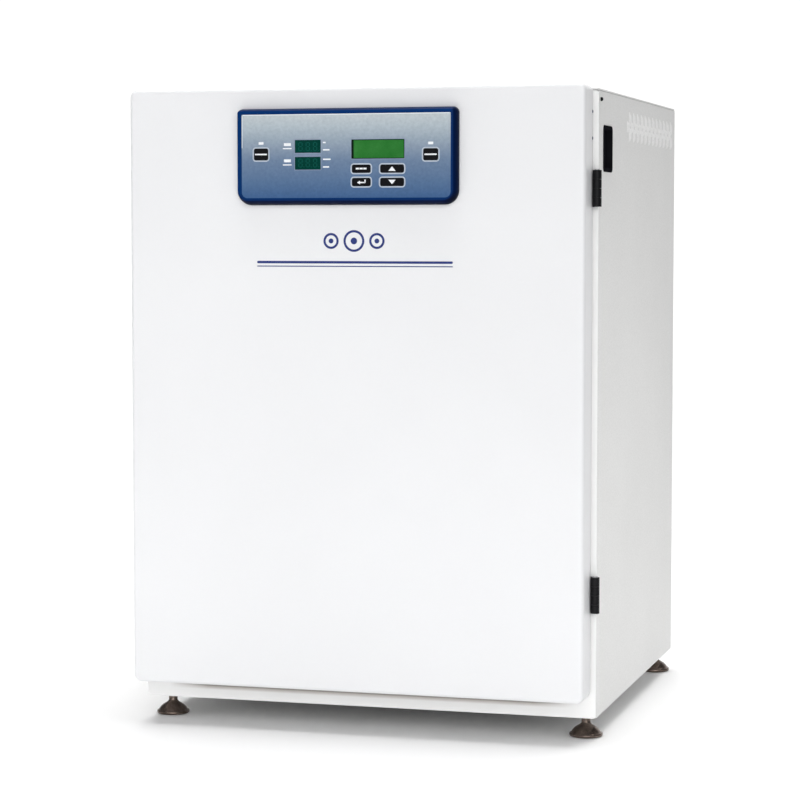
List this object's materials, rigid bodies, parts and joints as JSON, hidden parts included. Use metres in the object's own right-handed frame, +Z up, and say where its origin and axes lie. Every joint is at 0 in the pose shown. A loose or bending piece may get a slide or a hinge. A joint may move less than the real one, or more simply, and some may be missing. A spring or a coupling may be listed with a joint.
{
  "type": "laboratory incubator",
  "caption": "Bench-top gas-controlled laboratory incubator with a side-hinged outer door, control pod, inner glass door, shelves, fan and levelling feet.",
  "frame": {"origin": "on the floor, at the middle of the outline seen from above", "axes": "+Z up, the doors face -Y, +X is to the right of a person facing the doors; the doors are hinged on the +X side"},
  "size_m": [0.6676, 0.7032, 0.9025],
  "materials": {
    "powder_white": "satin",
    "door_white": "gloss",
    "stainless": "satin",
    "galvanised": "matte",
    "black_plastic": "satin",
    "pod_blue": "gloss",
    "film_blue": "satin",
    "lcd_green": "gloss",
    "led_window": "gloss",
    "key_black": "satin",
    "seal_grey": "matte",
    "silicone": "matte",
    "mineral_wool": "matte",
    "heater_orange": "matte",
    "door_glass": "gloss",
    "foot_metal": "satin",
    "pcb_green": "satin",
    "filter_white": "matte",
    "motor_dark": "satin",
    "brass": "satin",
    "hinge_black": "satin"
  },
  "bodies": {
    "cabinet": {"base_pan": "powder_white", "side_panel_left": "powder_white", "side_panel_right": "powder_white", "top_cover": "powder_white", "back_panel": "powder_white", "front_frame": "powder_white", "inner_chamber": "stainless", "insulation_boards": "mineral_wool", "chamber_heaters": "heater_orange", "chamber_gasket": "silicone", "shelf_racks": "stainless", "shelf_lower": "stainless", "shelf_middle": "stainless", "shelf_upper": "stainless", "humidity_pan": "stainless", "air_duct": "stainless", "hepa_filter": "filter_white", "fan_motor": "motor_dark", "co2_sensor": "stainless", "temperature_probes": "stainless", "access_port": "black_plastic", "control_board": "pcb_green", "power_supply": "galvanised", "gas_valve": "brass", "gas_tube": "silicone", "gas_inlet": "brass", "mains_inlet": "black_plastic", "switch_bezel": "black_plastic", "cabinet_hinge_leaves": "hinge_black", "hinge_pins": "galvanised", "glass_hinge_brackets": "stainless", "latch_keeper": "stainless", "panel_screws": "hinge_black"},
    "outer_door": {"door_skin": "door_white", "door_grip": "black_plastic", "door_liner": "powder_white", "door_insulation": "mineral_wool", "door_gasket": "seal_grey", "door_hinge_leaves": "hinge_black", "panel_bezel": "pod_blue", "panel_overlay": "film_blue", "display_board": "pcb_green", "lcd_module": "lcd_green", "led_displays": "led_window"},
    "glass_door": {"glass_pane": "door_glass", "glass_hinge_straps": "stainless"},
    "key_left": {"key_left": "key_black"},
    "key_right": {"key_right": "key_black"},
    "key_menu": {"key_menu": "key_black"},
    "key_enter": {"key_enter": "key_black"},
    "key_up": {"key_up": "key_black"},
    "key_down": {"key_down": "key_black"},
    "foot_front_left": {"foot_front_left": "foot_metal"},
    "foot_front_right": {"foot_front_right": "foot_metal"},
    "foot_rear_left": {"foot_rear_left": "foot_metal"},
    "foot_rear_right": {"foot_rear_right": "foot_metal"},
    "latch_knob": {"latch_knob": "black_plastic"},
    "power_rocker": {"power_rocker": "black_plastic"},
    "fan_impeller": {"fan_impeller": "black_plastic"},
    "port_plug": {"port_plug": "silicone"}
  },
  "joints": [
    {"name": "outer_door_hinge", "type": "hinge", "parent": "cabinet", "child": "outer_door", "pos_m": [0.32775, -0.2915, 0.483], "axis": [0, 0, 1], "range_deg": [0, 120]},
    {"name": "glass_door_hinge", "type": "hinge", "parent": "cabinet", "child": "glass_door", "pos_m": [0.272, -0.294, 0.425], "axis": [0, 0, 1], "range_deg": [0, 102]},
    {"name": "latch_turn", "type": "hinge", "parent": "glass_door", "child": "latch_knob", "pos_m": [-0.254, -0.296, 0.425], "axis": [0, -1, 0], "range_deg": [0, 90]},
    {"name": "power_rocker_tilt", "type": "hinge", "parent": "cabinet", "child": "power_rocker", "pos_m": [0.311, -0.2215, 0.8175], "axis": [0, -1, 0], "range_deg": [0, 9]},
    {"name": "fan_spin", "type": "hinge", "parent": "cabinet", "child": "fan_impeller", "pos_m": [-0.002, 0.015, 0.733], "axis": [0, 0, 1], "continuous": true},
    {"name": "port_plug_pull", "type": "slide", "parent": "cabinet", "child": "port_plug", "axis": [0, 1, 0], "range_m": [0, 0.05]},
    {"name": "key_left_press", "type": "slide", "parent": "outer_door", "child": "key_left", "axis": [0, 1, 0], "range_m": [0, 0.0008], "stiffness_N_per_m": 400},
    {"name": "key_right_press", "type": "slide", "parent": "outer_door", "child": "key_right", "axis": [0, 1, 0], "range_m": [0, 0.0008], "stiffness_N_per_m": 400},
    {"name": "key_menu_press", "type": "slide", "parent": "outer_door", "child": "key_menu", "axis": [0, 1, 0], "range_m": [0, 0.0008], "stiffness_N_per_m": 400},
    {"name": "key_enter_press", "type": "slide", "parent": "outer_door", "child": "key_enter", "axis": [0, 1, 0], "range_m": [0, 0.0008], "stiffness_N_per_m": 400},
    {"name": "key_up_press", "type": "slide", "parent": "outer_door", "child": "key_up", "axis": [0, 1, 0], "range_m": [0, 0.0008], "stiffness_N_per_m": 400},
    {"name": "key_down_press", "type": "slide", "parent": "outer_door", "child": "key_down", "axis": [0, 1, 0], "range_m": [0, 0.0008], "stiffness_N_per_m": 400},
    {"name": "foot_front_left_level", "type": "slide", "parent": "cabinet", "child": "foot_front_left", "axis": [0, 0, -1], "range_m": [-0.004, 0.012]},
    {"name": "foot_front_right_level", "type": "slide", "parent": "cabinet", "child": "foot_front_right", "axis": [0, 0, -1], "range_m": [-0.004, 0.012]},
    {"name": "foot_rear_left_level", "type": "slide", "parent": "cabinet", "child": "foot_rear_left", "axis": [0, 0, -1], "range_m": [-0.004, 0.012]},
    {"name": "foot_rear_right_level", "type": "slide", "parent": "cabinet", "child": "foot_rear_right", "axis": [0, 0, -1], "range_m": [-0.004, 0.012]}
  ],
  "couplings": [
    {"joint": "glass_door_hinge", "follows": "outer_door_hinge", "ratio": 0.85}
  ]
}
